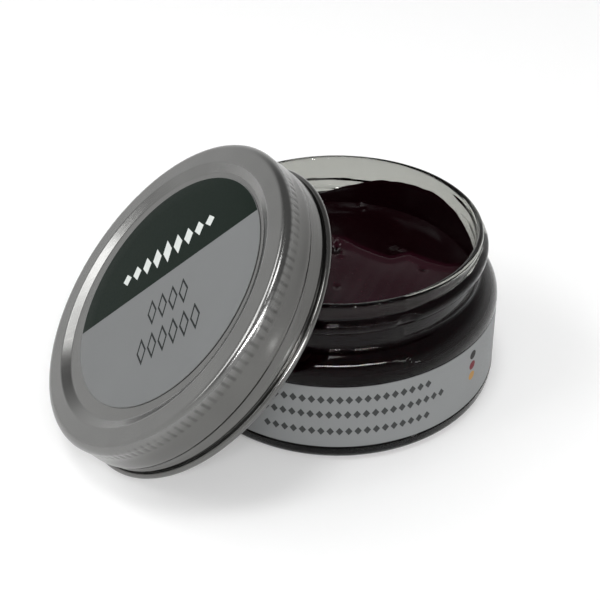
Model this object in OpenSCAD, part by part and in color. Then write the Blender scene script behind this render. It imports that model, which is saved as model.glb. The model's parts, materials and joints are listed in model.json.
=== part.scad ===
// Shoe cream jar, open, with its screw lid taken off and leaned against the neck.
// Millimetres, +Z up, origin at the centre of the jar's base.
// The lid leans in the XZ plane: its printed top faces up and towards -X.

/* [Jar body] */
// Radius of the glass at the top edge of the label
panel_r = 33.75; // [31:0.05:40]
// How much wider the panel is at its foot than at its top
panel_taper = 0.55; // [0:0.05:1.5]
// Height of the panel that the label is wrapped round
panel_h = 14.9; // [10:0.1:22]
// Height of the bevel between the panel and the ring above or below it
panel_bevel = 0.3; // [0.1:0.05:0.6]
// How far the heel ring stands proud of the panel's foot
heel_proud = 0.2; // [0.1:0.05:1.2]
// Height of the straight part of the heel ring
heel_ring_h = 1.1; // [0.2:0.1:2]
// Rounding radius under the heel ring
heel_round = 2; // [1:0.1:4]
// How far the shoulder ring stands proud of the panel's top
shoulder_proud = 0.15; // [0.1:0.05:1.2]
// Height of the straight part of the shoulder ring
shoulder_ring_h = 0.3; // [0.1:0.1:3]
// Height of the rounded shoulder
shoulder_h = 5; // [3.5:0.1:7]
// Slope of the shoulder where it reaches the neck, in degrees
shoulder_slope = 20; // [5:1:30]
// Thickness of the glass side wall
wall_t = 2.9; // [2:0.1:5]
// Thickness of the glass base
base_t = 4.5; // [3:0.1:8]
// Inside rounding between the wall and the base
floor_round = 4; // [1:0.5:8]

/* [Jar neck] */
// Outside radius of the neck
neck_r = 29.75; // [27:0.05:32]
// Thickness of the neck's wall
neck_wall = 1.35; // [1:0.05:2.5]
// Height of the neck above the shoulder
neck_h = 9.7; // [8:0.1:16]
// Rounding of the lip's two edges
lip_round = 0.6; // [0.2:0.05:0.65]
// Fillet where the neck rises from the shoulder
neck_fillet = 0.45; // [0.1:0.05:0.8]
// Height of the inside slope that narrows the body to the neck
inner_slope_h = 2.6; // [1:0.1:5]
// Rounding at both ends of that slope
slope_round = 1; // [0.2:0.1:1.5]

/* [Cream] */
// Depth of the cream's surface below the lip
fill_drop = 11.9; // [5:0.1:18]
// Clearance between the cream and the glass
cream_gap = 0.1; // [0.05:0.05:0.5]
// Height that the cream climbs where it meets the glass
climb_h = 0.7; // [0.1:0.1:2]
// Width of the climbing edge
climb_w = 2.4; // [0.5:0.1:5]
// Depth of the hollow that a cloth has wiped out of the cream
scoop_depth = 1.2; // [0.2:0.1:4]
// Radius of that hollow's curve
scoop_r = 46; // [20:1:90]
// Distance of the hollow's middle from the jar's axis
scoop_off = 9; // [0:0.5:14]
// Direction of the hollow's middle
scoop_dir = 60; // [-180:5:180]

/* [Labels] */
// Thickness of both printed labels
label_t = 0.12; // [0.08:0.01:0.3]
// Glue line under both labels
label_glue = 0.03; // [0.01:0.01:0.1]
// Bare glass left above and below the jar's label
label_margin = 0.15; // [0.1:0.05:1]
// Width of the open seam between the two ends of the jar's label
label_seam = 2.5; // [1:0.1:8]
// Direction of that seam, seen from above
label_seam_dir = 75; // [-180:1:180]
// Bare metal left between the lid's label and the nearest edge of the panel's flat
lid_label_margin = 0.45; // [0.1:0.05:6]
// How far the lid's label is stuck off centre, towards the lid's upper edge
lid_label_up = 1.1; // [0:0.1:3]
// How far the lid's label is stuck off centre, towards -Y
lid_label_side = 0.4; // [0:0.1:3]

/* [Lid] */
// Thickness of the lid's sheet metal
sheet_t = 0.28; // [0.2:0.02:0.5]
// Height of the lid
lid_h = 11.2; // [10.9:0.05:15]
// Room between the neck and the lid's skirt, which the threads share
skirt_play = 2.8; // [1.5:0.05:4]
// Section radius of the curled edge
curl_round = 0.65; // [0.4:0.05:0.9]
// How far the curl stands proud of the skirt
curl_proud = 0.9; // [0.6:0.05:1.2]
// Depth of the groove above the curl
groove_depth = 0.4; // [0.2:0.05:0.8]
// Height of the groove above the curl
groove_h = 0.75; // [0.4:0.05:1.2]
// Rounding of the bends in and beside the groove
groove_round = 0.2; // [0.05:0.05:0.3]
// Height of the threaded band
thread_band_h = 2.85; // [2:0.05:3.2]
// Height of the smooth bead above the threaded band
bead_h = 3.75; // [2.5:0.05:4]
// How far the smooth bead swells out of the skirt
bead_proud = 0.2; // [0.05:0.05:0.5]
// How far the gripping band is set back from the skirt
grip_set = 0.1; // [0.05:0.05:0.3]
// Rounding of the lid's top edge
lid_round = 1.9; // [0.8:0.1:2.2]
// Width of the raised ring round the lid's top, up to the step
ring_w = 2.7; // [2:0.1:3.1]
// Width of the sloping step
step_w = 1.9; // [1:0.05:2.2]
// Depth of the lid's panel below the raised ring
panel_drop = 1.05; // [0.6:0.05:2]
// Rounding of the step's two edges
step_round = 0.8; // [0.3:0.05:1.2]

/* [Seal] */
// Running clearance between the sealing ring and the lid
seal_gap = 0.25; // [0.15:0.05:0.5]
// Thickness of the sealing ring
seal_t = 1.7; // [1.5:0.1:2.5]
// Rounding of the sealing ring's other edges
seal_round = 0.4; // [0.1:0.05:0.6]

/* [Lid's place] */
// Height of the leaning lid's upper edge above the jar's lip
lid_over = 12.3; // [8:0.1:18]
// How far the lid's axis lies to the -Y side of the jar's axis
lid_side = 6; // [4:0.1:12]
// Gap left between the lid's curl and the jar's lip
lean_gap = 0.15; // [0.1:0.05:1]

/* [Hidden] */
$fn = 96;
arc_steps = 6;
bead_steps = 8;
climb_steps = 6;
lip_step = 0.5;
halvings = 20;
least_flat = 0.05;

// Heights up the jar
panel_z = heel_round + heel_ring_h + panel_bevel;
panel_top = panel_z + panel_h;
shoulder_z = panel_top + panel_bevel + shoulder_ring_h;
neck_z = shoulder_z + shoulder_h;
jar_h = neck_z + neck_h;
inner_slope_top = neck_z - wall_t;
cream_z = jar_h - fill_drop;

// Radii of the jar
panel_foot_r = panel_r + panel_taper;
heel_r = panel_foot_r + heel_proud;
shoulder_r = panel_r + shoulder_proud;
body_bore_r = panel_r - wall_t;
neck_bore_r = neck_r - neck_wall;

// The shoulder's edge before rounding, and the largest rounding that leaves room for the neck's fillet
shoulder_w = shoulder_r - neck_r;
shoulder_edge_z = neck_z - shoulder_w * tan(shoulder_slope);
shoulder_bend = tan(45 - shoulder_slope / 2);
shoulder_run = shoulder_w / cos(shoulder_slope) - neck_fillet * shoulder_bend - least_flat;
shoulder_round = min(shoulder_edge_z - shoulder_z, shoulder_run) / shoulder_bend;

// Heights and radii of the lid, measured from its open edge and its own axis
skirt_r = neck_r + skirt_play + sheet_t;
curl_r = skirt_r + curl_proud - curl_round;
curl_root_r = curl_r - curl_round + sheet_t;
groove_r = skirt_r - groove_depth;
thread_band_z = 2 * curl_round + groove_h;
bead_z = thread_band_z + thread_band_h;
bead_top = bead_z + bead_h;
grip_r = skirt_r - grip_set;
top_round = min(lid_round, lid_h - bead_top - grip_set - least_flat);
ring_r = grip_r - lid_round - ring_w;
lid_panel_r = ring_r - step_w;
lid_panel_z = lid_h - panel_drop;
step_angle = atan(panel_drop / step_w);
lid_flat_r = lid_panel_r - step_round * tan(step_angle / 2);
lid_label_r = lid_flat_r - lid_label_margin - norm([lid_label_up, lid_label_side]);

// Sealing ring, in the channel behind the raised ring
seal_out_r = grip_r - sheet_t - seal_gap;
seal_in_r = ring_r + sheet_t + seal_gap;
seal_top = lid_h - sheet_t - seal_gap;
seal_top_round = min(top_round - sheet_t - seal_gap, seal_t - seal_round - least_flat);

// The leaning lid: its curl stands on the floor, and its mouth reaches over the jar's lip
lean = asin((jar_h + lid_over - 2 * curl_round) / (2 * curl_r));
lid_z = curl_r * sin(lean) + curl_round * (1 - cos(lean));

// Distance from a point of the jar's lip, at angle t, to the middle of the lid's curl, with the lid at x
function curl_reach(x, t) =
    let (
        r = neck_r - lip_round,
        across = r * cos(t) - x,
        rise = jar_h - lip_round - lid_z,
        side = r * sin(t) + lid_side,
        up_slope = across * cos(lean) + rise * sin(lean),
        height = rise * cos(lean) - across * sin(lean)
    )
    norm([norm([side, up_slope]) - curl_r, height - curl_round]);
// Clearance between the lip and the curl along the back of the jar
function curl_clear(x) = min([for (t = [90 : lip_step : 180]) curl_reach(x, t)]) - curl_round - lip_round;
// Place of the lid's middle along X, found by halving, where the curl just clears the lip
function settled(near, far, tries) =
    let (x = (near + far) / 2)
    tries == 0 ? far :
        curl_clear(x) > lean_gap ? settled(near, x, tries - 1) : settled(x, far, tries - 1);
lid_x = settled(-neck_r / 2, -neck_r - curl_r, halvings);

// Direction of a vector, place of an outline's point, and point at an angle on a circle
function unit(v) = v / norm(v);
function flat(p) = [p[0], p[1]];
function polar(c, r, a) = c + r * [cos(a), sin(a)];

// Points round a corner b between a and c, rounded to radius r
function corner(a, b, c, r) = r == 0 ? [b] :
    let (
        u = unit(a - b),
        w = unit(c - b),
        half = acos(u * w) / 2,
        m = b + unit(u + w) * r / sin(half),
        p = b + u * r / tan(half) - m,
        q = b + w * r / tan(half) - m,
        start = atan2(p.y, p.x),
        turn = atan2(p.x * q.y - p.y * q.x, p * q)
    )
    [for (i = [0 : arc_steps]) polar(m, r, start + turn * i / arc_steps)];

// Outline of points [radius, height, rounding]; an open outline's two ends stay sharp
function rounded(pts, closed = false) = [
    for (i = [0 : len(pts) - 1])
        let (n = len(pts), is_end = i == 0 || i == n - 1)
        each is_end && !closed ? [flat(pts[i])] :
            corner(flat(pts[(i + n - 1) % n]), flat(pts[i]), flat(pts[(i + 1) % n]), pts[i][2])
];

// The same path moved sideways by t, to the left of its direction
function beside(path, t) = [
    for (i = [0 : len(path) - 1])
        let (
            last = len(path) - 1,
            d0 = unit(path[max(i, 1)] - path[max(i, 1) - 1]),
            d1 = unit(path[min(i + 1, last)] - path[min(i + 1, last) - 1]),
            n = unit([-d0.y - d1.y, d0.x + d1.x])
        )
        path[i] + n * t / (n * [-d0.y, d0.x])
];

function reversed(path) = [for (i = [len(path) - 1 : -1 : 0]) path[i]];

// Section of the glass: up the outside, over the lip and down the inside
function jar_section() = rounded([
    [0, 0, 0],
    [heel_r, 0, heel_round],
    [heel_r, heel_round + heel_ring_h, 0],
    [panel_foot_r, panel_z, 0],
    [panel_r, panel_top, 0],
    [shoulder_r, panel_top + panel_bevel, 0],
    [shoulder_r, shoulder_edge_z, shoulder_round],
    [neck_r, neck_z, neck_fillet],
    [neck_r, jar_h, lip_round],
    [neck_bore_r, jar_h, lip_round],
    [neck_bore_r, inner_slope_top, slope_round],
    [body_bore_r, inner_slope_top - inner_slope_h, slope_round],
    [body_bore_r, base_t, floor_round],
    [0, base_t, 0]
]);

// Section of the cream: the jar's inside less a clearance, with an edge that climbs the glass
function cream_section() =
    let (top_r = neck_bore_r - cream_gap)
    concat(
        rounded([
            [0, base_t + cream_gap, 0],
            [body_bore_r - cream_gap, base_t + cream_gap, floor_round - cream_gap],
            [body_bore_r - cream_gap, inner_slope_top - inner_slope_h, slope_round],
            [top_r, inner_slope_top, slope_round],
            [top_r, cream_z, 0]
        ]),
        [
            for (i = [0 : climb_steps])
                let (t = i / climb_steps)
                [top_r - climb_w * t, cream_z + climb_h * pow(1 - t, 2)]
        ],
        [[0, cream_z]]
    );

// Outside of the lid's sheet: from inside the curl up the skirt and over to the middle of the top
function lid_outside() = concat(
    rounded([
        [curl_root_r, curl_round, 0],
        [groove_r, 2 * curl_round + groove_h / 2, groove_round],
        [skirt_r, thread_band_z, groove_round],
        [skirt_r, bead_z, 0]
    ]),
    [
        for (i = [1 : bead_steps - 1])
            [skirt_r + bead_proud * sin(180 * i / bead_steps), bead_z + bead_h * i / bead_steps]
    ],
    rounded([
        [skirt_r, bead_top, 0],
        [grip_r, bead_top + grip_set, 0],
        [grip_r, lid_h, top_round],
        [ring_r, lid_h, step_round],
        [lid_panel_r, lid_panel_z, step_round],
        [0, lid_panel_z, 0]
    ])
);

// Stands its children in the lid's own frame where the leaning lid lies
module leaning() {
    translate([lid_x, -lid_side, lid_z])
        rotate([0, -lean, 0])
            children();
}

module glass_jar() {
    color([0.82, 0.88, 0.86, 0.35])
        rotate_extrude()
            polygon(jar_section());
}

module shoe_cream() {
    color([0.16, 0.03, 0.07])
        difference() {
            rotate_extrude()
                polygon(cream_section());
            rotate([0, 0, scoop_dir])
                translate([scoop_off, 0, cream_z + scoop_r - scoop_depth])
                    sphere(r = scoop_r);
        }
}

module jar_label() {
    seam_turn = label_seam / panel_r * 180 / PI;
    low_r = panel_foot_r + label_glue;
    high_r = panel_r + label_glue;
    low_z = panel_z + label_margin;
    high_z = panel_top - label_margin;
    color([0.55, 0.58, 0.57])
        rotate([0, 0, label_seam_dir + seam_turn / 2])
            rotate_extrude(angle = 360 - seam_turn)
                polygon([[low_r, low_z], [low_r + label_t, low_z], [high_r + label_t, high_z], [high_r, high_z]]);
}

module lid_shell() {
    outside = lid_outside();
    color([0.66, 0.67, 0.66])
        leaning() {
            rotate_extrude()
                polygon(concat(outside, reversed(beside(outside, sheet_t))));
            rotate_extrude()
                translate([curl_r, curl_round])
                    circle(r = curl_round);
        }
}

module sealing_ring() {
    color([0.85, 0.83, 0.78])
        leaning()
            rotate_extrude()
                polygon(rounded([
                    [seal_in_r, seal_top - seal_t, seal_round],
                    [seal_out_r, seal_top - seal_t, seal_round],
                    [seal_out_r, seal_top, seal_top_round],
                    [seal_in_r, seal_top, seal_round]
                ], closed = true));
}

module lid_label() {
    color([0.14, 0.2, 0.18])
        leaning()
            translate([lid_label_up, -lid_label_side, lid_panel_z + label_glue])
                cylinder(r = lid_label_r, h = label_t);
}

glass_jar();
shoe_cream();
jar_label();
sealing_ring();
lid_shell();
lid_label();
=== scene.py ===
# %% [markdown]
# # An open jar of shoe cream with its screw lid leaned against the neck
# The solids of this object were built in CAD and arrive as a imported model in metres, with the jar
# standing on z = 0 and its axis on the Z axis. This lesson dresses them: it builds finer meshes where
# the real surface carries detail, such as threads, gripping flutes and wiped cream, and gives every
# piece a procedural finish. Lengths below are in millimetres, as on a maker's drawing, and each mesh
# is scaled to metres as it is made.

import json
import math

import bpy
import numpy as np
from mathutils import Matrix, Quaternion, Vector


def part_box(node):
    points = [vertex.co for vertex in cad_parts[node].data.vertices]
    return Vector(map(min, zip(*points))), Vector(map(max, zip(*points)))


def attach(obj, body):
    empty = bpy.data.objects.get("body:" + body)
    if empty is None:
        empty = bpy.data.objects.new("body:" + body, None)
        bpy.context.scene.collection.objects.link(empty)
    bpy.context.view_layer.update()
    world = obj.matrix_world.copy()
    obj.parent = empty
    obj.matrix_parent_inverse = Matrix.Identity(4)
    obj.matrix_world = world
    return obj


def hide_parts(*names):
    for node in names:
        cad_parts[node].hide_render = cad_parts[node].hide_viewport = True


MM = 0.001
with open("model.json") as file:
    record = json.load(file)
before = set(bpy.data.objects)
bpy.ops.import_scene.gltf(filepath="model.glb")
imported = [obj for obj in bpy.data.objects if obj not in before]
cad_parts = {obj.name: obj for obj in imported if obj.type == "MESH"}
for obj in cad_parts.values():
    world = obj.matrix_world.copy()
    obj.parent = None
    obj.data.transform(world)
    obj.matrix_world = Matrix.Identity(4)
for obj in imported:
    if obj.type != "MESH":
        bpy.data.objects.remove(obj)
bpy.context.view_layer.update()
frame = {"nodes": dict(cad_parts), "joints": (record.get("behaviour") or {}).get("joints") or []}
print("CAD nodes:", sorted(frame["nodes"]))

# %% [markdown]
# ## Camera
# The photograph looks down on the object from the front left. Its viewing point was worked out from
# the ellipses of the lip, the label and the base. A camera needs a place and a rotation: the matrix
# below has the camera's right, up and backward directions as its columns, so no tracking constraint
# is needed and the small roll of the hand-held picture is kept.

# %% Place the camera
CAMERA_PLACE = (-59.945, -145.968, 127.68)
CAMERA_YAW = 19.5125
CAMERA_DIP = 35.851
CAMERA_ROLL = -1.2144
FOCAL_PIXELS = 895.69
PICTURE_PIXELS = 600
SENSOR_MM = 36
NEAREST_SEEN = 5

yaw, dip, roll = (math.radians(a) for a in (CAMERA_YAW, CAMERA_DIP, CAMERA_ROLL))
ahead = Vector((math.sin(yaw) * math.cos(dip), math.cos(yaw) * math.cos(dip), -math.sin(dip)))
level = Vector((math.cos(yaw), -math.sin(yaw), 0))
upright = level.cross(ahead)
right = math.cos(roll) * level + math.sin(roll) * upright
up = math.cos(roll) * upright - math.sin(roll) * level

camera_data = bpy.data.cameras.new("camera")
camera_data.sensor_width = SENSOR_MM
camera_data.lens = FOCAL_PIXELS * SENSOR_MM / PICTURE_PIXELS
camera_data.clip_start = NEAREST_SEEN * MM
camera = bpy.data.objects.new("camera", camera_data)
camera.matrix_world = Matrix.Translation(Vector(CAMERA_PLACE) * MM) @ Matrix(
    (right, up, -ahead)
).transposed().to_4x4()
bpy.context.scene.collection.objects.link(camera)
bpy.context.scene.camera = camera
print("lens", round(camera_data.lens, 2), "mm")

# %% [markdown]
# ## Turning an outline on a lathe
# Jar, cream and lid are all bodies of revolution, so one helper does most of the modelling: it takes
# an outline of (radius, height) points that starts and ends on the axis, and turns it round. Blender's
# Screw modifier could do that too, but here a `shape` function may move the points of every ring on
# the way, which is how threads and flutes get into the mesh as real geometry.

# %% Outline helpers
def arc(middle, radius, start, end, steps):
    """Points on a circle between two angles in degrees."""
    angles = np.radians(np.linspace(start, end, steps + 1))
    return [(middle[0] + radius * math.cos(a), middle[1] + radius * math.sin(a)) for a in angles]


def corner(before, at, after, radius, steps):
    """Points round a corner that is rounded to a radius."""
    at = Vector(at)
    u = (Vector(before) - at).normalized()
    w = (Vector(after) - at).normalized()
    half = u.angle(w) / 2
    middle = at + (u + w).normalized() * radius / math.sin(half)
    first = at + u * radius / math.tan(half) - middle
    last = at + w * radius / math.tan(half) - middle
    start = math.atan2(first.y, first.x)
    turn = math.atan2(first.x * last.y - first.y * last.x, first.dot(last))
    return arc(middle, radius, math.degrees(start), math.degrees(start + turn), steps)


def rounded(corners, steps=8):
    """An open outline through (radius, height, rounding) corners."""
    points = [corners[0][:2]]
    for before, at, after in zip(corners, corners[1:], corners[2:]):
        if at[2] == 0:
            points.append(at[:2])
        else:
            points += corner(before[:2], at[:2], after[:2], at[2], steps)
    return points + [corners[-1][:2]]


def filled_in(points, step):
    """The same outline with no two points further apart than a step."""
    dense = [points[0]]
    for a, b in zip(points, points[1:]):
        count = max(1, math.ceil(math.dist(a, b) / step))
        for i in range(1, count + 1):
            dense.append((a[0] + (b[0] - a[0]) * i / count, a[1] + (b[1] - a[1]) * i / count))
    return dense


def beside(points, distance):
    """The outline moved sideways, to the left of its direction."""
    path = np.array(points, float)
    steps = np.diff(path, axis=0)
    steps /= np.linalg.norm(steps, axis=1)[:, None]
    before = np.vstack([steps[:1], steps])
    after = np.vstack([steps, steps[-1:]])
    normal = np.stack([-before[:, 1] - after[:, 1], before[:, 0] + after[:, 0]], axis=1)
    normal /= np.linalg.norm(normal, axis=1)[:, None]
    stretch = normal[:, 0] * -before[:, 1] + normal[:, 1] * before[:, 0]
    return [tuple(p) for p in path + normal * (distance / stretch)[:, None]]


def ease(low, high, x):
    """A smooth step from 0 at low to 1 at high."""
    t = np.clip((x - low) / (high - low), 0, 1)
    return t * t * (3 - 2 * t)


def plateau(low, low_full, high_full, high, x):
    """A smooth plateau: 1 from low_full to high_full, and 0 below low and above high."""
    return ease(low, low_full, x) * ease(high, high_full, x)


print("outline helpers ready")

# %% The lathe
SHARP_FROM = 40


def solid(name, points, faces, place=None):
    """A mesh object from points in mm, placed by a matrix in mm."""
    mesh = bpy.data.meshes.new(name)
    mesh.from_pydata(points.tolist(), [], faces)
    mesh.transform(Matrix.Scale(MM, 4) @ (place or Matrix.Identity(4)))
    mesh.polygons.foreach_set("use_smooth", [True] * len(mesh.polygons))
    mesh.set_sharp_from_angle(angle=math.radians(SHARP_FROM))
    mesh.update()
    piece = bpy.data.objects.new(name, mesh)
    bpy.context.scene.collection.objects.link(piece)
    print(name, len(mesh.vertices), "points", len(mesh.polygons), "faces")
    return piece


def turned(name, outline, angles, shape=None, place=None):
    """A solid of revolution. The outline runs from the axis round the section and back to the axis."""
    count = len(angles)
    inner = np.array(outline[1:-1], float)
    radius, height, angle = np.broadcast_arrays(
        inner[:, 0][:, None], inner[:, 1][:, None], np.asarray(angles)[None, :]
    )
    if shape:
        radius, height = shape(radius, height, angle)
    rings = np.stack([radius * np.cos(angle), radius * np.sin(angle), height], axis=-1)
    ends = [[0, 0, height[0].mean()], [0, 0, height[-1].mean()]]
    points = np.vstack([rings.reshape(-1, 3), ends])
    rows = len(inner)
    first, last = rows * count, rows * count + 1
    top = (rows - 1) * count
    faces = []
    for j in range(count):
        k = (j + 1) % count
        faces.append((first, k, j))
        faces += [(i + j, i + k, i + count + k, i + count + j) for i in range(0, top, count)]
        faces.append((last, top + j, top + k))
    return solid(name, points, faces, place)


def even_turn(count):
    """Angles of one full turn in equal steps."""
    return np.linspace(-math.pi, math.pi, count, endpoint=False)


print("lathe ready")

# %% [markdown]
# ## Finishes from nodes
# A finish is a Principled shader whose colour, roughness and bump follow small patterns. These helpers
# keep the node code short: `node` adds a node and sets its sockets, where a value may be a number, a
# colour or the output of another node, and `calc` adds one Math node.

# %% Node helpers
def wire(tree, socket, value):
    """Links a socket to an output, or sets it to a value."""
    if isinstance(value, bpy.types.NodeSocket):
        tree.links.new(value, socket)
    else:
        socket.default_value = value


def node(tree, kind, sockets=None, **settings):
    """A shader node with its settings and sockets."""
    made = tree.nodes.new("ShaderNode" + kind)
    for name, value in settings.items():
        setattr(made, name, value)
    for name, value in (sockets or {}).items():
        wire(tree, made.inputs[name], value)
    return made


def calc(tree, operation, *values):
    """The result of one Math node."""
    made = node(tree, "Math", operation=operation)
    for socket, value in zip(made.inputs, values):
        wire(tree, socket, value)
    return made.outputs[0]


def blend_colour(tree, share, low, high):
    """A colour between two, by a share."""
    made = node(tree, "Mix", data_type="RGBA")
    wire(tree, made.inputs[0], share)
    wire(tree, made.inputs[6], low)
    wire(tree, made.inputs[7], high)
    return made.outputs[2]


def span(tree, value, low, high, from_low=0.0, from_high=1.0):
    """A value carried over from one range to another, and held at the ends."""
    sockets = {"Value": value, "From Min": from_low, "From Max": from_high, "To Min": low, "To Max": high}
    return node(tree, "MapRange", sockets).outputs[0]


print("node helpers ready")

# %% Pattern and finish helpers
# Nearly all of a noise pattern lies between these two values.
NOISE_RANGE = (0.3, 0.7)


def grain(tree, scale, detail=3.0, stretch=(1, 1, 1)):
    """A noise pattern in the piece's own coordinates, with its scale per metre."""
    place = node(tree, "TexCoord").outputs["Object"]
    if stretch != (1, 1, 1):
        place = node(tree, "Mapping", {"Vector": place, "Scale": stretch}).outputs[0]
    return node(tree, "TexNoise", {"Vector": place, "Scale": scale, "Detail": detail}).outputs[0]


def bumped(tree, shader, height, strength, distance):
    """Lets a pattern tilt the light on a surface, with its depth in mm."""
    sockets = {"Height": height, "Strength": strength, "Distance": distance * MM}
    wire(tree, shader.inputs["Normal"], node(tree, "Bump", sockets).outputs[0])


def new_finish(name, **sockets):
    """A material, its node tree and its shader with some sockets set."""
    material = bpy.data.materials.new(name)
    material.use_nodes = True
    shader = material.node_tree.nodes["Principled BSDF"]
    for socket, value in sockets.items():
        shader.inputs[socket.replace("_", " ")].default_value = value
    return material, material.node_tree, shader


def dress(piece, material, body=None, node_name=None):
    """Gives a piece its finish and, where a body is named, the body it rides on, hiding the CAD node it
    stands for.
    """
    piece.data.materials.clear()
    piece.data.materials.append(material)
    if body:
        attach(piece, body)
        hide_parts(node_name)
    print(piece.name, "wears", material.name)


print("finish helpers ready")

# %% [markdown]
# ## The glass jar
# Soda glass, 3 mm thick, with a label panel set in between a heel ring and a shoulder ring. The neck
# carries one turn of a right-hand thread. Such jars are pressed and blown in a mould of two halves, so
# the thread thins at both seams and a fine ridge runs up the glass there. The underside is pushed up a
# little, and the ring that it stands on is notched. A solid body less a second body for its hollow
# would also do. One closed outline is simpler, and it gives the glass a single skin of true thickness,
# in which light bends as in the real jar.

# %% Outline of the jar
PANEL_R, PANEL_FOOT_R = 33.75, 34.3
PANEL_Z, PANEL_TOP, PANEL_BEVEL, BEVEL_ROUND = 3.4, 18.3, 0.3, 0.1
HEEL_R, HEEL_ROUND = 34.5, 2.0
SHOULDER_R, SHOULDER_EDGE_Z, SHOULDER_ROUND = 33.9, 22.39, 4.98
NECK_R, NECK_BORE_R, NECK_Z, NECK_FOOT_ROUND = 29.75, 28.4, 23.9, 0.95
JAR_H, LIP_ROUND = 33.6, 0.6
BODY_BORE_R, FLOOR_Z, FLOOR_ROUND = 30.85, 4.5, 4.0
SLOPE_TOP, SLOPE_BOTTOM, SLOPE_ROUND = 21.0, 18.4, 1.0
BASE_RISE, BASE_RISE_ROUND, BASE_SLOPE_W = 0.7, 3.0, 6.0
BASE_RING_R, BASE_RING_ROUND = 27.5, 1.2
PLAIN_STEP, NECK_STEP = 3.0, 0.22
NEAR = 0.01

glass_section = rounded(
    [
        (0, BASE_RISE, 0),
        (BASE_RING_R - BASE_SLOPE_W, BASE_RISE, BASE_RISE_ROUND),
        (BASE_RING_R, 0, BASE_RING_ROUND),
        (HEEL_R, 0, HEEL_ROUND),
        (HEEL_R, PANEL_Z - PANEL_BEVEL, BEVEL_ROUND),
        (PANEL_FOOT_R, PANEL_Z, BEVEL_ROUND),
        (PANEL_R, PANEL_TOP, BEVEL_ROUND),
        (SHOULDER_R, PANEL_TOP + PANEL_BEVEL, BEVEL_ROUND),
        (SHOULDER_R, SHOULDER_EDGE_Z, SHOULDER_ROUND),
        (NECK_R, NECK_Z, NECK_FOOT_ROUND),
        (NECK_R, JAR_H, LIP_ROUND),
        (NECK_BORE_R, JAR_H, LIP_ROUND),
        (NECK_BORE_R, SLOPE_TOP, SLOPE_ROUND),
        (BODY_BORE_R, SLOPE_BOTTOM, SLOPE_ROUND),
        (BODY_BORE_R, FLOOR_Z, FLOOR_ROUND),
        (0, FLOOR_Z, 0),
    ]
)
on_neck = [i for i, p in enumerate(glass_section) if p[1] > NECK_Z and p[0] < NECK_R + NEAR]
neck_start = on_neck[0]
neck_end = next(i for i in on_neck if glass_section[i][1] > JAR_H - LIP_ROUND - NEAR)
jar_outline = filled_in(glass_section[: neck_start + 1], PLAIN_STEP)
jar_outline += filled_in(glass_section[neck_start : neck_end + 1], NECK_STEP)[1:-1]
jar_outline += filled_in(glass_section[neck_end:], PLAIN_STEP)
print("jar outline of", len(jar_outline), "points")

# %% Thread, seams and notches in the glass
PITCH, THREAD_END, THREAD_DROP = 5.08, 12.0, 3.05
THREAD_DEPTH, THREAD_FOOT, THREAD_RUNOUT = 1.25, 2.9, 25.0
THREAD_FROM, THREAD_FULL = NECK_Z, NECK_Z + 0.5
THIN_SHARE, THIN_FULL, THIN_REACH = 0.55, 1.35, 4.5
SKIN_FROM, SKIN_FULL = NECK_R - 0.3, NECK_R - 0.1
SEAM_AT, SEAM_WIDTH, SEAM_PROUD = -87.5, 0.55, 0.07
SEAM_SPAN = (0.3 * HEEL_ROUND, HEEL_ROUND, JAR_H - 1, JAR_H - 0.3)
PANEL_SPAN = (PANEL_Z - PANEL_BEVEL, PANEL_Z, PANEL_TOP, PANEL_TOP + PANEL_BEVEL)
NOTCHES, NOTCH_DEPTH = 120, 0.12
NOTCH_SPAN = (BASE_RING_R + 0.3, BASE_RING_R + 1, 31.2, 31.8)


def off_seam(angle):
    """Degrees from the nearer of the mould's two seams, at the front and at the back."""
    return np.abs((np.degrees(angle) - SEAM_AT + 90) % 180 - 90)


def outside(radius):
    """1 on the outside of the glass, 0 in the bore."""
    return ease(SKIN_FROM, SKIN_FULL, radius)


def neck_thread(radius, height, angle):
    """How far the thread stands out of the neck."""
    turn = (np.degrees(angle) - THREAD_END) % 360 - 360
    off = np.abs(height - (JAR_H - THREAD_DROP + PITCH * turn / 360))
    section = np.clip(1 - (2 * off / THREAD_FOOT) ** 3, 0, 1)
    ends = plateau(-360, THREAD_RUNOUT - 360, -THREAD_RUNOUT, 0, turn)
    thinned = THIN_SHARE + (1 - THIN_SHARE) * ease(THIN_FULL, THIN_REACH, off_seam(angle))
    above_foot = ease(THREAD_FROM, THREAD_FULL, height)
    return THREAD_DEPTH * section * ends * thinned * above_foot * outside(radius)


def seam_ridge(radius, height, angle):
    """How far the seams stand out, everywhere but on the label's panel."""
    ridge = np.exp(-((off_seam(angle) * radius * math.pi / 180 / SEAM_WIDTH) ** 2))
    off_panel = 1 - plateau(*PANEL_SPAN, height)
    return SEAM_PROUD * ridge * plateau(*SEAM_SPAN, height) * off_panel * outside(radius)


def base_notch(radius, angle):
    """How far the notches reach up into the ring that the jar stands on."""
    return NOTCH_DEPTH * (0.5 - 0.5 * np.cos(NOTCHES * angle)) * plateau(*NOTCH_SPAN, radius)


print("glass details ready")

# %% The jar's mesh
JAR_SIDES = 360
SEAM_SPREAD, SEAM_STEP = 4.0, 0.25


def glass_detail(radius, height, angle):
    """Moves the glass out for thread and seams, within the heel's radius, and up for the notches."""
    proud = neck_thread(radius, height, angle) + seam_ridge(radius, height, angle)
    proud = np.minimum(proud, HEEL_R - radius)
    on_floor = height < 2 * NEAR
    return (
        radius + np.maximum(proud, 0),
        np.where(on_floor, height + base_notch(radius, angle), height),
    )


seam_steps = np.arange(-SEAM_SPREAD, SEAM_SPREAD + NEAR, SEAM_STEP)
near_seams = np.concatenate([np.radians(s + seam_steps) for s in (SEAM_AT, SEAM_AT + 180)])
jar_angles = np.unique(np.round(np.concatenate([even_turn(JAR_SIDES), near_seams]), 6))
jar = turned("jar_glass", jar_outline, jar_angles, glass_detail)

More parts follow.
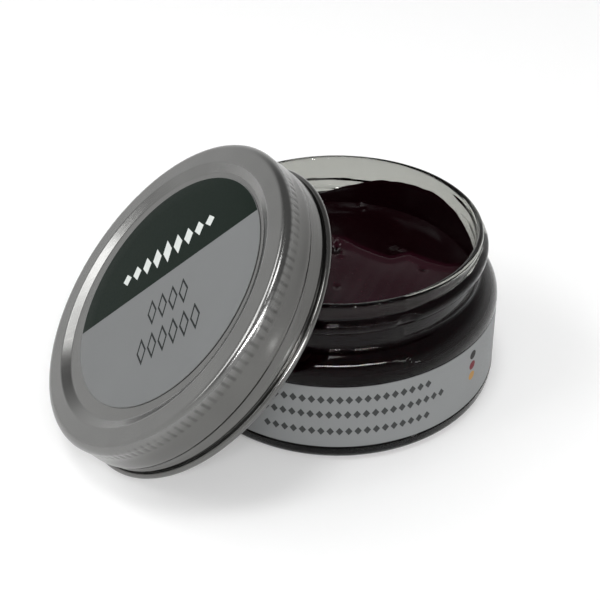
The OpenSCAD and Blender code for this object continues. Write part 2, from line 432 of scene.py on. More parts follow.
# %% Glass finish
DIM_GLARE = (0.22, 0.22, 0.22, 1)
glass, tree, shader = new_finish(
    "pressed_glass", Transmission_Weight=1.0, Roughness=0.0, IOR=1.5, Specular_Tint=DIM_GLARE
)
waviness = grain(tree, 60, detail=1.0)
# The deep grey tint is partly the glass's own and partly painted shade, for the darker surroundings seen
# through it.
tint_and_shade = blend_colour(tree, waviness, (0.37, 0.375, 0.345, 1), (0.41, 0.415, 0.385, 1))
wire(tree, shader.inputs["Base Color"], tint_and_shade)
bumped(tree, shader, waviness, strength=0.06, distance=0.2)
dress(jar, glass, "jar", "glass_jar")

# %% [markdown]
# ## The cream
# A soft, glossy, very dark burgundy wax cream. It was poured warm, so it climbs the glass in a thin
# coat whose edge rises and falls, and a cloth has since wiped a hollow into the back and pulled up a
# small peak beside it. A sculpted mesh or a cloth simulation would hide how the form comes about, so
# the surface is written as a height over the plane: a level, plus a hollow, a peak, a few pits and
# slow waves. The sides reach a few hundredths of a millimetre into the glass, because cream that wets
# glass leaves no air between them, and an air gap would mirror.

# %% Edge of the coat on the glass
COAT_EDGE = {-180: 23.4, -150: 27, -130: 30, -90: 30.4, -55: 30, -36: 28.4, -19: 26.8, -1: 28.5}
COAT_EDGE |= {21: 30.1, 44: 29, 55: 27.4, 65: 25.8, 76: 24.5, 120: 23.0}
EDGE_SPREAD = (-6, 0, 6)
# Each ripple is a height, a number of waves round the jar and a start.
RIPPLES = ((0.12, 9, 0), (0.08, 23, 1), (0.05, 41, 0))


def coat_edge(angle):
    """Height of the coat's edge on the glass, round the jar."""
    degrees = np.degrees(angle)
    places = sorted(COAT_EDGE)
    tops = [COAT_EDGE[a] for a in places]
    near = [
        np.interp((degrees + off + 180) % 360 - 180, places, tops, period=360) for off in EDGE_SPREAD
    ]
    ragged = sum(tall * np.sin(count * angle + start) for tall, count, start in RIPPLES)
    return sum(near) / len(near) + ragged


print("coat edge from", min(COAT_EDGE.values()), "to", max(COAT_EDGE.values()), "mm")

# %% Height of the wiped surface
WIPE_DEPTH, WIPE_REACH, FRONT_RISE = 1.7, 14.0, 0.9
BRINK_SOFT, LIP_RISE, LIP_BACK, LIP_WIDTH = 0.4, 0.25, 0.8, 0.9
BRINK = [(-6.2, 14), (0.8, 12.2), (4.6, 10.5), (5.9, 9.3), (7.1, 5.4), (9.6, 1.2)]
BRINK += [(11.8, -1.6), (16.4, -1.5), (18.7, -5.6), (21.7, -8.7), (26.8, -10.9)]
# Each wave is a height, its rates along x and y, and a start.
WAVES = ((0.05, 0.32, 0.21, 0), (0.03, -0.18, 0.5, 1))
STREAK_H, STREAK_RATE_X, STREAK_RATE_Y = 0.014, 1.617, -1.344
STREAK_BEND, STREAK_BEND_RATE = 1.4, 0.21
STREAK_FROM, STREAK_FULL = -2, -6
# Each mound or pit is a place, a width and a height.
PEAK =[((3.9, 8.4), 1.1, 1.1), ((5.4, 6.4), 1.2, 0.4)]
DENT = [((2.1, 6.0), 1.3, -1.1), ((2.3, 3.2), 0.7, 0.3)]
PITS = [((16.4, -8.0), 0.6, -0.5), ((-2.7, -7.2), 0.5, -0.35)]
SMEARS = [((15.4, 3.4), 0.8, 0.45), ((16.2, 1.2), 0.7, 0.4)]
SMEARS += [((15.8, 23.2), 0.6, 0.4), ((15.6, 21.4), 0.6, 0.3)]


def past_brink(x, y):
    """Signed distance from the brink of the hollow, positive on the wiped side at the back right."""
    nearest = np.full(x.shape, 1e9)
    side = np.zeros(x.shape)
    for (x0, y0), (x1, y1) in zip(BRINK, BRINK[1:]):
        dx, dy = x1 - x0, y1 - y0
        t = np.clip(((x - x0) * dx + (y - y0) * dy) / (dx * dx + dy * dy), 0, 1)
        away = np.hypot(x - x0 - t * dx, y - y0 - t * dy)
        turn = (x - x0) * dy - (y - y0) * dx
        side = np.where(away < nearest, -np.sign(turn), side)
        nearest = np.minimum(nearest, away)
    return nearest * side


def mound(x, y, middle, width, height):
    """A soft mound, or a pit where its height is below 0."""
    return height * np.exp(-((x - middle[0]) ** 2 + (y - middle[1]) ** 2) / width**2)


def wiped(x, y):
    """Height of the cream's surface over its level."""
    off = past_brink(x, y)
    down = np.minimum(0.5 * (off + np.hypot(off, BRINK_SOFT)), WIPE_REACH) / WIPE_REACH
    hollow = FRONT_RISE - WIPE_DEPTH * (1 - (1 - down) ** 2)
    lip = LIP_RISE * np.exp(-(((off + LIP_BACK) / LIP_WIDTH) ** 2))
    waves = sum(tall * np.sin(rate_x * x + rate_y * y + start) for tall, rate_x, rate_y, start in WAVES)
    bend = STREAK_BEND * np.sin(STREAK_BEND_RATE * y)
    streaks = STREAK_H * np.sin(STREAK_RATE_X * x + STREAK_RATE_Y * y + bend)
    streaks = streaks * ease(STREAK_FROM, STREAK_FULL, off)
    mounds = sum(mound(x, y, *each) for each in PEAK + DENT + PITS + SMEARS)
    return hollow + lip + waves + streaks + mounds


print("surface at the middle", round(float(wiped(np.zeros(1), np.zeros(1))[0]), 2), "mm from its level")

# %% Outline of the cream
CREAM_LEVEL = 21.7
WET = 0.03
COAT = 0.32
MENISCUS, CLIMB = 3.8, 1.0
SIDE_ROWS, COAT_ROWS, CLIMB_ROWS, SURFACE_ROWS = 6, 14, 8, 65
INNERMOST_R = 0.35

under = rounded(
    [
        (0, FLOOR_Z - WET, 0),
        (BODY_BORE_R + WET, FLOOR_Z - WET, FLOOR_ROUND),
        (BODY_BORE_R + WET, SLOPE_BOTTOM, SLOPE_ROUND),
        (NECK_BORE_R + WET, SLOPE_TOP, SLOPE_ROUND),
        (NECK_BORE_R + WET, CREAM_LEVEL, 0),
    ]
)
under = filled_in(under, PLAIN_STEP)
top_r = NECK_BORE_R - COAT
climb_radii = np.linspace(top_r, top_r - MENISCUS, CLIMB_ROWS + 1)[1:]
inner_radii = np.linspace(top_r - MENISCUS, INNERMOST_R, SURFACE_ROWS + 1)[1:]
cream_outline = under[:-1]
cream_outline += [(NECK_BORE_R + WET, CREAM_LEVEL)] * SIDE_ROWS
cream_outline += [(top_r, CREAM_LEVEL)] * COAT_ROWS
cream_outline += [(float(r), CREAM_LEVEL) for r in (*climb_radii, *inner_radii)]
cream_outline += [(0, CREAM_LEVEL)]
print("cream outline of", len(cream_outline), "points")

# %% The cream's mesh
CREAM_SIDES = 288
COAT_LEAST, COAT_RIM, COAT_SWELL = 0.4, 0.02, 0.12
RIM_SWELL, RIM_STEEP = 0.06, 6
side_start = len(under) - 2
coat_start = side_start + SIDE_ROWS
surface_start = coat_start + COAT_ROWS


def cream_top(x, y):
    """Height of the cream's surface, which climbs where it nears the glass."""
    climb = np.clip((np.hypot(x, y) - (top_r - MENISCUS)) / MENISCUS, 0, 1)
    return CREAM_LEVEL + wiped(x, y) + CLIMB * climb**2


def cream_detail(radius, height, angle):
    """Raises the side to the coat's edge, brings the coat down inside it and shapes the surface."""
    radius, height = radius.copy(), height.copy()
    at_wall = cream_top(top_r * np.cos(angle[0]), top_r * np.sin(angle[0]))
    rim = np.maximum(coat_edge(angle[0]), at_wall + COAT_LEAST)
    for i in range(SIDE_ROWS):
        height[side_start + i] = CREAM_LEVEL + (rim - CREAM_LEVEL) * i / (SIDE_ROWS - 1)
    for i in range(COAT_ROWS):
        t = i / (COAT_ROWS - 1)
        swell = RIM_SWELL * math.sin(math.pi * min(1, t * RIM_STEEP))
        radius[coat_start + i] += 0.5 * COAT * ease(0, COAT_SWELL, t)
        height[coat_start + i] = rim + swell + (at_wall - rim) * t
    radius[coat_start] = NECK_BORE_R - COAT_RIM
    surface = slice(surface_start, None)
    around = angle[surface]
    height[surface] = cream_top(radius[surface] * np.cos(around), radius[surface] * np.sin(around))
    return radius, height


cream = turned("wiped_cream", cream_outline, even_turn(CREAM_SIDES), cream_detail)

# %% [markdown]
# ### Wet cream and a paler front
# The wiped hollow and the coat shine. The untouched front has dried a little and is painted paler; this
# paler colour is partly the dried cream's own and partly painted sheen. Two materials on one mesh would
# need a border in the mesh, so one shader tells them apart by their height. Where the cream touches the
# glass it has no gloss of its own.

# %% Cream finish
CREAM_GLOSS = 0.16
DULL_AND_SHEEN_FROM, DULL_AND_SHEEN_FULL = 0.45, 0.75
DULL_AND_SHEEN_R, DULL_AND_SHEEN_END_R = 24.5, 26.5
BARE_R, WETTED_R = NECK_BORE_R - 0.15, NECK_BORE_R - 0.03
wax, tree, shader = new_finish("burgundy_cream", Specular_IOR_Level=CREAM_GLOSS)
place = node(tree, "TexCoord").outputs["Object"]
height = node(tree, "SeparateXYZ", {"Vector": place}).outputs[2]
level_place = node(tree, "Mapping", {"Vector": place, "Scale": (1, 1, 0)}).outputs[0]
from_axis = node(tree, "VectorMath", {0: level_place}, operation="LENGTH").outputs["Value"]
bare = span(tree, from_axis, 1.0, 0.0, BARE_R * MM, WETTED_R * MM)
dull_and_sheen = span(tree, height, 0.0, 1.0, (CREAM_LEVEL + DULL_AND_SHEEN_FROM) * MM, (CREAM_LEVEL + DULL_AND_SHEEN_FULL) * MM)
dull_and_sheen = calc(tree, "MULTIPLY", dull_and_sheen, span(tree, from_axis, 1.0, 0.0, DULL_AND_SHEEN_R * MM, DULL_AND_SHEEN_END_R * MM))
shade = grain(tree, 160, detail=4.0)
wet_colour = blend_colour(tree, shade, (0.004, 0.0006, 0.0012, 1), (0.006, 0.0009, 0.0018, 1))
# The paler front colour is partly the dried cream's own and partly painted sheen.
dull_and_sheen_colour = blend_colour(tree, shade, (0.018, 0.003, 0.0065, 1), (0.024, 0.0042, 0.0085, 1))
wire(tree, shader.inputs["Base Color"], blend_colour(tree, dull_and_sheen, wet_colour, dull_and_sheen_colour))
wire(tree, shader.inputs["Specular IOR Level"], calc(tree, "MULTIPLY", bare, CREAM_GLOSS))
wire(tree, shader.inputs["Roughness"], span(tree, grain(tree, 700), 0.12, 0.22, *NOISE_RANGE))
bumped(tree, shader, grain(tree, 900, detail=2.0), calc(tree, "MULTIPLY", bare, 0.12), distance=0.05)
dress(cream, wax, "jar", "shoe_cream")

# %% [markdown]
# ## The lid
# A lid stamped from 0.28 mm tinplate. From the edge upwards it has an outward curl, a groove, a skirt
# with a thread rolled into it, a smooth bead, a band of gripping flutes, a rounded edge, a raised ring
# and a panel set down inside it. The section is one sheet that doubles back on itself, so the outside
# is drawn first and the inside is the same path one thickness further in. A Solidify modifier could
# thicken the sheet, but would crumple in the tight curl. Thread and flutes push both faces alike, which
# is what the rolling and stamping tools do to the sheet.

# %% Where the lid lies
hinge = next(j for j in frame["joints"] if j["name"] == "lid_turn")
lid_origin = Vector(hinge["pos_m"])
lid_axis = Vector(hinge["axis"]).normalized()
lid_across = Vector((0, 1, 0))
lid_up = lid_across.cross(lid_axis)
lid_place = Matrix.Translation(lid_origin / MM) @ Matrix(
    (lid_up, lid_across, lid_axis)
).transposed().to_4x4()
print("lid leans", round(math.degrees(lid_axis.angle(Vector((0, 0, 1)))), 2), "degrees")

# %% Outside of the lid
SHEET = 0.28
LID_H, LID_ROUND = 11.2, 1.45
SKIRT_R, GRIP_R = 32.83, 32.73
CURL_R, CURL_ROUND, CURL_STOP = 33.08, 0.65, 490
GROOVE_R, GROOVE_H, GROOVE_ROUND = 32.35, 1.5, 0.2
BAND_Z, BEAD_Z, BEAD_TOP, BEAD_PROUD = 1.85, 4.3, 7.9, 0.38
RING_R, LID_PANEL_R, LID_PANEL_Z, STEP_ROUND = 28.13, 26.23, 10.15, 0.8
BEAD_STEPS, TOP_STEPS = 16, 7
SKIRT_STEP, EDGE_STEP, PANEL_STEP = 0.24, 0.2, 4.0
LAST_R = 0.4

bead = [
    (GRIP_R + BEAD_PROUD * ease(BEAD_TOP, BEAD_Z, z), z)
    for z in np.linspace(BEAD_Z, BEAD_TOP, BEAD_STEPS + 1)[1:-1]
]
skirt = rounded(
    [
        (CURL_R - CURL_ROUND + SHEET, CURL_ROUND, 0),
        (GROOVE_R, GROOVE_H, GROOVE_ROUND),
        (SKIRT_R, BAND_Z, GROOVE_ROUND),
        (GRIP_R + BEAD_PROUD, BEAD_Z, 0),
    ],
    steps=4,
)
top = rounded(
    [
        (GRIP_R, BEAD_TOP, 0),
        (GRIP_R, LID_H, LID_ROUND),
        (RING_R, LID_H, STEP_ROUND),
        (LID_PANEL_R, LID_PANEL_Z, STEP_ROUND),
        (LAST_R, LID_PANEL_Z, 0),
    ],
    steps=TOP_STEPS,
)
# The gripping band, the rounded edge and the ring's flat are finely divided, the panel coarsely.
ring_end = TOP_STEPS + 4
outer_face = filled_in(skirt, SKIRT_STEP) + bead
outer_face += filled_in(top[:ring_end], EDGE_STEP) + filled_in(top[ring_end:], PANEL_STEP)
print("outside of the lid has", len(outer_face), "points")

# %% Curl and inside of the lid
CURL_START = 180
inner_face = beside(outer_face, SHEET)
curl_middle = (CURL_R, CURL_ROUND)
curl_out = arc(curl_middle, CURL_ROUND, CURL_START, CURL_STOP, steps=22)
curl_back = arc(curl_middle, CURL_ROUND - SHEET, CURL_STOP, CURL_START, steps=16)
lid_outline = [(0, inner_face[-1][1])] + inner_face[:0:-1]
lid_outline += curl_out + curl_back
lid_outline += outer_face[1:] + [(0, LID_PANEL_Z)]
print("lid section of", len(lid_outline), "points")

# %% Thread and flutes in the sheet
FLUTES, FLUTE_DEPTH, POINTS_PER_FLUTE = 127, 0.06, 6
FLUTE_SPAN = (8.1, 8.35, 9.3, 9.8)
FLUTE_WALL = (GRIP_R - 1.6, GRIP_R - 0.6)
ROLL_AT, ROLL_Z, ROLL_DEPTH, ROLL_EDGE, ROLL_FADE = -70, 4.17, 0.36, 0.5, 1.9
ROLL_RUNOUT = 30
ROLL_SPAN = (2.0, 2.6, 7.3, 8.1)
ROLL_WALL = (GROOVE_R - SHEET - 0.2, GROOVE_R - SHEET)


def rolled_thread(radius, height, angle):
    """How far the thread is rolled into the skirt: a sharp upper edge and a long fade below it."""
    turn = (np.degrees(angle) - ROLL_AT + 180) % 360 - 180
    off = height - (ROLL_Z + PITCH * turn / 360)
    off = off / np.where(off > 0, ROLL_EDGE, ROLL_FADE)
    rolled = ROLL_DEPTH * np.exp(-(off**2)) * ease(180, 180 - ROLL_RUNOUT, np.abs(turn))
    return rolled * plateau(*ROLL_SPAN, height) * ease(*ROLL_WALL, radius)


def flutes(radius, height, angle):
    """How far the gripping flutes are pressed into the side."""
    pressed = FLUTE_DEPTH * (0.5 - 0.5 * np.cos(FLUTES * angle)) ** 2
    return pressed * plateau(*FLUTE_SPAN, height) * ease(*FLUTE_WALL, radius)


def lid_detail(radius, height, angle):
    """Presses thread and flutes into the sheet."""
    return radius - rolled_thread(radius, height, angle) - flutes(radius, height, angle), height


lid_angles = even_turn(FLUTES * POINTS_PER_FLUTE)
lid = turned("stamped_lid", lid_outline, lid_angles, lid_detail, lid_place)

# %% [markdown]
# ### Tinplate
# The sheet is satin metal with a fine grain from rolling. Its side is painted darker than its top, as
# painted shade, and the valleys of the flutes are darkened with grime and painted shade. The shader has
# to know where on the lid a point lies: how far up the lid's axis, how far out from it and at which angle
# round it. Painted vertex colours could carry that too, but they would tie the finish to the mesh.

# %% Height, radius and angle on the lid
def from_lid_origin(tree, direction):
    """How far a point lies from the lid's origin along a direction, in metres."""
    place = node(tree, "TexCoord").outputs["Object"]
    sockets = {0: place, 1: direction}
    far = node(tree, "VectorMath", sockets, operation="DOT_PRODUCT").outputs["Value"]
    return calc(tree, "SUBTRACT", far, lid_origin.dot(direction))


tin, tree, shader = new_finish("satin_tinplate", Metallic=1.0)
along = from_lid_origin(tree, lid_axis)
across = from_lid_origin(tree, lid_across)
upward = from_lid_origin(tree, lid_up)
around = calc(tree, "ARCTAN2", across, upward)
level_place = node(tree, "CombineXYZ", {"X": across, "Y": upward}).outputs[0]
from_axis = node(tree, "VectorMath", {0: level_place}, operation="LENGTH").outputs["Value"]
print("places on the lid take", len(tree.nodes), "nodes")

# %% Grime and painted shade in the flutes
# The valleys of the flutes are darkened with grime and painted shade.
GRIME_AND_SHADE = (0.04, 0.04, 0.038, 1)
GRIME_AND_SHADE_SPAN = (8.0, 8.35, 10.0, 10.5)
GRIME_AND_SHADE_WALL = (GRIP_R - 1.2, GRIP_R - 0.6)
low, low_full, high_full, high = (z * MM for z in GRIME_AND_SHADE_SPAN)
low_end = span(tree, along, 0.0, 1.0, low, low_full)
high_end = span(tree, along, 1.0, 0.0, high_full, high)
on_wall = span(tree, from_axis, 0.0, 1.0, *(r * MM for r in GRIME_AND_SHADE_WALL))
wave = calc(tree, "COSINE", calc(tree, "MULTIPLY", around, FLUTES))
valley = span(tree, wave, 1.0, 0.0, -1.0, 0.1)
grime_and_shade = span(tree, grain(tree, 330, detail=2.0), 0.12, 0.6, *NOISE_RANGE)
for mask in (valley, low_end, high_end, on_wall):
    grime_and_shade = calc(tree, "MULTIPLY", grime_and_shade, mask)
print("with grime they take", len(tree.nodes), "nodes")

# %% Tinplate finish
# Below TOP_FROM the lid's side is painted darker than its top, as painted shade.
TOP_FROM, TOP_FULL = 8.6, 10.4
mottle = grain(tree, 120, detail=4.0)
side = blend_colour(tree, mottle, (0.122, 0.121, 0.117, 1), (0.152, 0.151, 0.146, 1))
face = blend_colour(tree, mottle, (0.18, 0.18, 0.176, 1), (0.22, 0.22, 0.215, 1))
on_top = span(tree, along, 0.0, 1.0, TOP_FROM * MM, TOP_FULL * MM)
shaded_side_and_top = blend_colour(tree, on_top, side, face)
wire(tree, shader.inputs["Base Color"], blend_colour(tree, grime_and_shade, shaded_side_and_top, GRIME_AND_SHADE))
rolling = grain(tree, 260, detail=3.0, stretch=(1, 22, 1))
wire(tree, shader.inputs["Roughness"], span(tree, rolling, 0.17, 0.24, *NOISE_RANGE))
bumped(tree, shader, rolling, strength=0.04, distance=0.03)
dress(lid, tin, "lid", "lid_shell")

# %% [markdown]
# ## Sealing ring
# A ring of soft compound is run into the channel behind the lid's raised ring and sets there. It could
# be turned like the lid, but its CAD solid already has the right rounded form, so it stays as it is and
# only gets a finish: an off-white rubber-like surface with faint flow marks.

# %% Sealing ring finish
compound, tree, shader = new_finish("sealing_compound", Specular_IOR_Level=0.35)
cloud = grain(tree, 220, detail=3.0)
off_white = blend_colour(tree, cloud, (0.52, 0.5, 0.45, 1), (0.64, 0.62, 0.56, 1))
wire(tree, shader.inputs["Base Color"], off_white)
wire(tree, shader.inputs["Roughness"], span(tree, cloud, 0.42, 0.6))
bumped(tree, shader, grain(tree, 500, detail=2.0), strength=0.2, distance=0.08)
dress(frame["nodes"]["sealing_ring"], compound)

# %% [markdown]
# ## Label sheets
# Both labels are thin printed film. Each is a closed sheet with its own thickness, and each carries a
# map in millimetres, so that the print can be drawn by a few distances in the shader and stays sharp at
# any size. A painted image would be the usual way, but a pattern from maths needs no file.

# %% The round label on the lid
LABEL_T = 0.12
LID_LABEL_R = 24.4
BACK_ROUND, FRONT_ROUND = 0.02, 0.05
LABEL_SIDES = 240

low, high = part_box("lid_label")
label_middle = lid_place.inverted() @ ((low + high) / 2 / MM)
print("lid label at", [round(c, 2) for c in label_middle])
label_outline = rounded(
    [
        (0, -LABEL_T / 2, 0),
        (LID_LABEL_R, -LABEL_T / 2, BACK_ROUND),
        (LID_LABEL_R, LABEL_T / 2, FRONT_ROUND),
        (0, LABEL_T / 2, 0),
    ],
    steps=3,
)
label_outline = filled_in(label_outline, PANEL_STEP)
label_place = lid_place @ Matrix.Translation(label_middle)
lid_label = turned("lid_label_film", label_outline, even_turn(LABEL_SIDES), None, label_place)

# %% A map in millimetres for the round label
PRINT_TILT = -19.7

tilt = math.radians(PRINT_TILT)
from_lid = lid_place.inverted()


def map_in_mm(piece, measure):
    """Adds a map whose two numbers are the millimetres that measure gives for a point of the mesh."""
    layer = piece.data.uv_layers.new(name="print_mm")
    for loop in piece.data.loops:
        layer.data[loop.index].uv = measure(piece.data.vertices[loop.vertex_index].co / MM)
    print(piece.name, "has a map of", len(piece.data.loops), "corners")


def along_print(point):
    """Where a point lies along the lines of print and up from the lid's middle."""
    local = from_lid @ point
    return (
        local.x * math.cos(tilt) + local.y * math.sin(tilt),
        local.y * math.cos(tilt) - local.x * math.sin(tilt),
    )


map_in_mm(lid_label, along_print)

# %% The wrap label on the jar
GLUE = 0.03
WRAP_FOOT_R, WRAP_TOP_R = PANEL_FOOT_R + GLUE, PANEL_R + GLUE
WRAP_LOW, WRAP_HIGH, WRAP_EDGE = 3.55, 18.15, 0.03
WRAP_SEAM, WRAP_OPEN = 75.0, 2.5
WRAP_SIDES = 360


def wrap_sheet():
    """Points and faces of a sheet that goes round the panel and leaves its seam open."""
    opening = math.degrees(WRAP_OPEN / PANEL_R)
    start, end = WRAP_SEAM + opening / 2 - 360, WRAP_SEAM - opening / 2
    angles = np.radians(np.linspace(start, end, WRAP_SIDES + 1))
    section = [
        (WRAP_FOOT_R, WRAP_LOW),
        (WRAP_FOOT_R + LABEL_T - WRAP_EDGE, WRAP_LOW),
        (WRAP_FOOT_R + LABEL_T, WRAP_LOW + WRAP_EDGE),
        (WRAP_TOP_R + LABEL_T, WRAP_HIGH - WRAP_EDGE),
        (WRAP_TOP_R + LABEL_T - WRAP_EDGE, WRAP_HIGH),
        (WRAP_TOP_R, WRAP_HIGH),
    ]
    size = len(section)
    points = np.array([(r * math.cos(a), r * math.sin(a), z) for a in angles for r, z in section])
    faces = [tuple(range(size)), tuple(range(len(points) - 1, len(points) - size - 1, -1))]
    for i in range(0, len(points) - size, size):
        for k in range(size):
            m = (k + 1) % size
            faces.append((i + k, i + size + k, i + size + m, i + m))
    return points, faces


def round_jar(point):
    """Where a point lies round the panel from the front, and how high."""
    angle = math.degrees(math.atan2(point.y, point.x))
    if angle > WRAP_SEAM:
        angle -= 360
    return (math.radians(angle + 90) * PANEL_R, point.z)


jar_label = solid("jar_label_film", *wrap_sheet())
map_in_mm(jar_label, round_jar)

# %% [markdown]
# ## The print
# The lid's film is silver grey with a dark green segment above a straight edge. It carries a plain
# ornament: a tapering row of white lozenges on the green and two rows of open lozenges on the grey. The
# jar's film has three rows of small lozenges that repeat round it, and three shade dots. Each mark could
# be a small mesh of its own, but ink has no thickness, so the shader colours the area of each mark. A
# lozenge is the area where |x|/a + |y|/b is less than 1.

# %% Print helpers
def print_place(tree):
    """The place on the print in millimetres, and its two coordinates."""
    place = node(tree, "UVMap", uv_map="print_mm").outputs[0]
    parts = node(tree, "SeparateXYZ", {"Vector": place})
    return place, parts.outputs[0], parts.outputs[1]


def apart(tree, value, middle):
    """The distance between a value and a middle."""
    return calc(tree, "ABSOLUTE", calc(tree, "SUBTRACT", value, middle))


def within(tree, value, limit):
    """1 where a value is below a limit."""
    return calc(tree, "LESS_THAN", value, limit)


def lozenge(tree, x, y, half_x, half_y):
    """Below 1 inside a lozenge, for distances from its middle."""
    return calc(tree, "ADD", calc(tree, "DIVIDE", x, half_x), calc(tree, "DIVIDE", y, half_y))


def lozenge_row(tree, x, y, row, pitch, half_x, half_y):
    """Below 1 inside the lozenges of an endless row, one of which stands at x = 0."""
    cell = calc(tree, "ABSOLUTE", calc(tree, "WRAP", x, pitch / 2, -pitch / 2))
    return lozenge(tree, cell, apart(tree, y, row), half_x, half_y)


print("print helpers ready")

# %% Silver film
SILVER = (1.0, 1.03, 1.035)
CLOUDS = (0.93, 1.07)
ROUGHNESS_SPREAD = 0.06


def film_finish(name, roughness, gloss, pale):
    """A silver film of a roughness, a gloss and a grey."""
    material, tree, shader = new_finish(name, Specular_IOR_Level=gloss)
    fleck = grain(tree, 2500, detail=2.0)
    smooth, rough = roughness - ROUGHNESS_SPREAD, roughness + ROUGHNESS_SPREAD
    wire(tree, shader.inputs["Roughness"], span(tree, fleck, smooth, rough, *NOISE_RANGE))
    bumped(tree, shader, grain(tree, 300, detail=3.0), strength=0.06, distance=0.05)
    low, high = ((*(pale * share * c for c in SILVER), 1) for share in CLOUDS)
    silver = blend_colour(tree, grain(tree, 60), low, high)
    return material, tree, shader, silver


print("silver film ready")

# %% Green segment and white row of the lid's label
GREEN, WHITE = (0.006, 0.012, 0.0085, 1), (0.62, 0.65, 0.63, 1)
GREEN_EDGE = 3.07
PRINT_MIDDLE = 2.0
CROWN_PITCH, CROWN_CELLS, CROWN_ROW = 2.9, 9, 9.0
CROWN_HALF_W, CROWN_HALF_H = 1.2, 3.0

# The lid's film is painted a darker silver than the jar's, as painted shade, because it faces the lamps.
film, tree, shader, colour = film_finish("lid_label_print", roughness=0.4, gloss=0.05, pale=0.178)
place, x, y = print_place(tree)
green = calc(tree, "GREATER_THAN", y, GREEN_EDGE)
colour = blend_colour(tree, green, colour, GREEN)

offset = calc(tree, "SUBTRACT", x, PRINT_MIDDLE)
cell = calc(tree, "WRAP", offset, CROWN_PITCH / 2, -CROWN_PITCH / 2)
from_middle = calc(tree, "ABSOLUTE", calc(tree, "SUBTRACT", offset, cell))
crown_end = CROWN_PITCH * (CROWN_CELLS // 2)
half_h = span(tree, from_middle, CROWN_HALF_H, CROWN_HALF_H / 2, 0.0, crown_end)
crown = lozenge(tree, calc(tree, "ABSOLUTE", cell), apart(tree, y, CROWN_ROW), CROWN_HALF_W, half_h)
in_row = within(tree, calc(tree, "ABSOLUTE", offset), CROWN_PITCH * CROWN_CELLS / 2)
white = calc(tree, "MULTIPLY", within(tree, crown, 1.0), in_row)
colour = blend_colour(tree, white, colour, WHITE)
print("white row of", CROWN_CELLS, "lozenges")

# %% Open rows and painted shade at the edge of the lid's label
INK, EDGE_SHADE_COLOUR = (0.02, 0.022, 0.022, 1), (0.13, 0.134, 0.132, 1)
OPEN_ROWS = ((-4.05, 4), (-11.9, 6))
OPEN_PITCH, OPEN_HALF_W, OPEN_HALF_H, OPEN_INNER = 2.8, 1.25, 3.15, 0.68
EDGE_SHADE_WIDTH = 0.12

for row, count in OPEN_ROWS:
    shifted = calc(tree, "SUBTRACT", x, PRINT_MIDDLE + OPEN_PITCH / 2)
    pattern = lozenge_row(tree, shifted, y, row, OPEN_PITCH, OPEN_HALF_W, OPEN_HALF_H)
    outline = calc(tree, "GREATER_THAN", pattern, OPEN_INNER)
    line = calc(tree, "MULTIPLY", within(tree, pattern, 1.0), outline)
    in_row = within(tree, apart(tree, x, PRINT_MIDDLE), count * OPEN_PITCH / 2)
    colour = blend_colour(tree, calc(tree, "MULTIPLY", line, in_row), colour, INK)

# A thin ring at the label's edge is painted darker, as painted shade where the film's edge meets the
# step.
centre = along_print(lid_place @ label_middle)
sockets = {0: place, 1: (*centre, 0)}
reach = node(tree, "VectorMath", sockets, operation="DISTANCE").outputs["Value"]
edge_shade = calc(tree, "GREATER_THAN", reach, LID_LABEL_R - EDGE_SHADE_WIDTH)
colour = blend_colour(tree, edge_shade, colour, EDGE_SHADE_COLOUR)
wire(tree, shader.inputs["Base Color"], colour)
dress(lid_label, film, "lid", "lid_label")
print("lid label print has", len(tree.nodes), "nodes")

# %% The jar label's print
MARK_INK = (0.045, 0.047, 0.047, 1)
MARK_PITCH, MARK_HALF_W, MARK_HALF_H = 1.75, 0.72, 0.95
# Each row is a height, the middle of its block and a number of lozenges.
MARK_ROWS = ((15.2, -10.5, 19), (11.6, -9.0, 21), (7.5, -10.5, 19))
REPEAT = math.radians(120) * PANEL_R
DOT_R, DOT_AT = 1.0, 17.8
DOTS = {15.6: (0.012, 0.011, 0.011, 1), 13.0: (0.13, 0.012, 0.02, 1), 10.4: (0.36, 0.2, 0.06, 1)}

# The jar's film is painted a paler silver than the lid's, as painted light, because the lamps light it
# less.
film, tree, shader, colour = film_finish("jar_label_print", roughness=0.42, gloss=0.08, pale=0.222)
place, x, y = print_place(tree)
for row, middle, count in MARK_ROWS:
    block = calc(tree, "WRAP", calc(tree, "SUBTRACT", x, middle), REPEAT / 2, -REPEAT / 2)
    pattern = lozenge_row(tree, block, y, row, MARK_PITCH, MARK_HALF_W, MARK_HALF_H)
    in_row = within(tree, calc(tree, "ABSOLUTE", block), count * MARK_PITCH / 2)
    marks = calc(tree, "MULTIPLY", within(tree, pattern, 1.0), in_row)
    colour = blend_colour(tree, marks, colour, MARK_INK)
for row, shade in DOTS.items():
    aside = calc(tree, "POWER", apart(tree, x, DOT_AT), 2.0)
    above = calc(tree, "POWER", apart(tree, y, row), 2.0)
    dot = within(tree, calc(tree, "ADD", aside, above), DOT_R**2)
    colour = blend_colour(tree, dot, colour, shade)
wire(tree, shader.inputs["Base Color"], colour)
dress(jar_label, film, "jar", "jar_label")
print("jar label print has", len(tree.nodes), "nodes")

# %% [markdown]
# ## Floor and light
# The object stands on a white sweep, as in a catalogue picture. The floor is a plain diffuse sheet that
# keeps a soft shadow. It glows a little for the camera, in reflections and through the glass, so that it
# shows white there without more light on the object. The surroundings are pale near the horizon and fade
# above it, which gives metal and glass something darker to mirror. A lamp on the left and a window
# behind it draw the bright streaks on the lid. A strip in front, with a twin that shows in reflections
# only, draws the long line on the jar's shoulder, and a leaning strip at the front right draws the
# slanting one. A lamp overhead fills the mouth. A picture of a studio, wrapped round the scene, could
# light it too, but lamps can be placed one by one for the line that each has to draw.

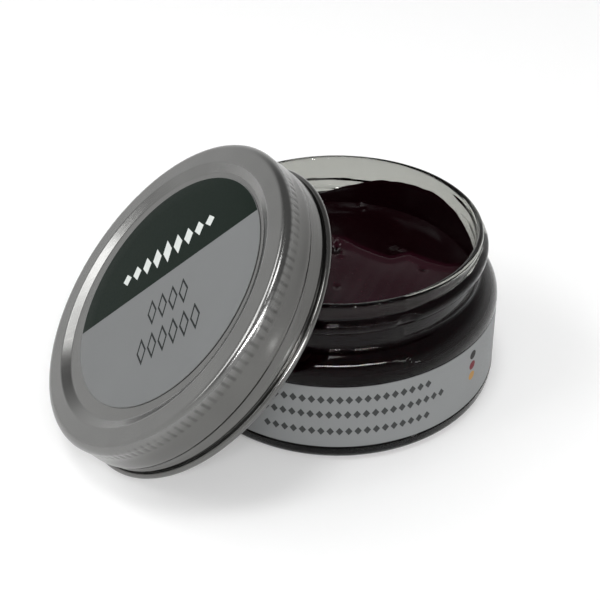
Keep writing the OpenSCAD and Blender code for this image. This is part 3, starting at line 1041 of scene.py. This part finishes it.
# %% Floor
FLOOR_R, FLOOR_SIDES, FLOOR_DROP = 900, 64, 0.05
FLOOR_GLOW = 0.14
rim = [(FLOOR_R * math.cos(a), FLOOR_R * math.sin(a), -FLOOR_DROP) for a in even_turn(FLOOR_SIDES)]
floor = solid("floor", np.array(rim), [tuple(range(FLOOR_SIDES))])
paper, tree, shader = new_finish(
    "white_sweep",
    Base_Color=(0.9, 0.9, 0.9, 1),
    Roughness=0.9,
    Specular_IOR_Level=0.0,
    Emission_Color=(1, 1, 1, 1),
)
path = node(tree, "LightPath").outputs
mirrored = calc(tree, "MAXIMUM", path["Is Glossy Ray"], path["Is Transmission Ray"])
seen = calc(tree, "MAXIMUM", path["Is Camera Ray"], mirrored)
wire(tree, shader.inputs["Emission Strength"], calc(tree, "MULTIPLY", seen, FLOOR_GLOW))
floor.data.materials.append(paper)

# %% Surroundings
AT_HORIZON, ABOVE = 0.95, 0.25
FADE_FROM, FADE_TO = 0.28, 0.6
world = bpy.data.worlds.new("surroundings")
bpy.context.scene.world = world
world.use_nodes = True
tree = world.node_tree
backdrop = tree.nodes["Background"]
backdrop.inputs["Color"].default_value = (1, 1, 1, 1)
direction = node(tree, "TexCoord").outputs["Generated"]
height = node(tree, "SeparateXYZ", {"Vector": direction}).outputs[2]
wire(tree, backdrop.inputs["Strength"], span(tree, height, AT_HORIZON, ABOVE, FADE_FROM, FADE_TO))
print("surroundings ready")

# %% Lamps
LAMP_AIM = Vector((-0.01, 0, 0.02))


def soft_lamp(name, azimuth, rise, distance, wide, tall, watts, lean=0, glint_only=False):
    """An area lamp in metres, at a compass angle and an elevation from the object that it looks at."""
    lamp = bpy.data.lights.new(name, "AREA")
    lamp.shape = "RECTANGLE"
    lamp.size = wide
    lamp.size_y = tall
    lamp.energy = watts
    a, e = math.radians(azimuth), math.radians(rise)
    towards = Vector((math.cos(a) * math.cos(e), math.sin(a) * math.cos(e), math.sin(e)))
    leaned = Quaternion((0, 0, 1), math.radians(lean))
    made = bpy.data.objects.new(name, lamp)
    made.location = LAMP_AIM + towards * distance
    made.rotation_euler = (towards.to_track_quat("Z", "Y") @ leaned).to_euler()
    made.visible_diffuse = not glint_only
    bpy.context.scene.collection.objects.link(made)
    print(name, "at", [round(c, 2) for c in made.location])


soft_lamp("left_lamp", 180, 42, 1.2, 0.2, 0.6, 1.7)
soft_lamp("window_lamp", 153, 46, 1.2, 0.7, 0.3, 3.0)
soft_lamp("front_lamp", -100, 44, 1.4, 1.0, 0.08, 7.6)
soft_lamp("side_lamp", -64, 21, 1.4, 0.1, 0.95, 1.8, lean=16)
soft_lamp("front_glint", -100, 44, 1.39, 0.9, 0.06, 9.0, glint_only=True)
soft_lamp("top_lamp", -150, 80, 1.4, 0.35, 0.35, 3.6)

# %% [markdown]
# ## Finish
# Colours are shown as they are, without a film curve.

# %% Colour view
bpy.context.scene.view_settings.view_transform = "Standard"
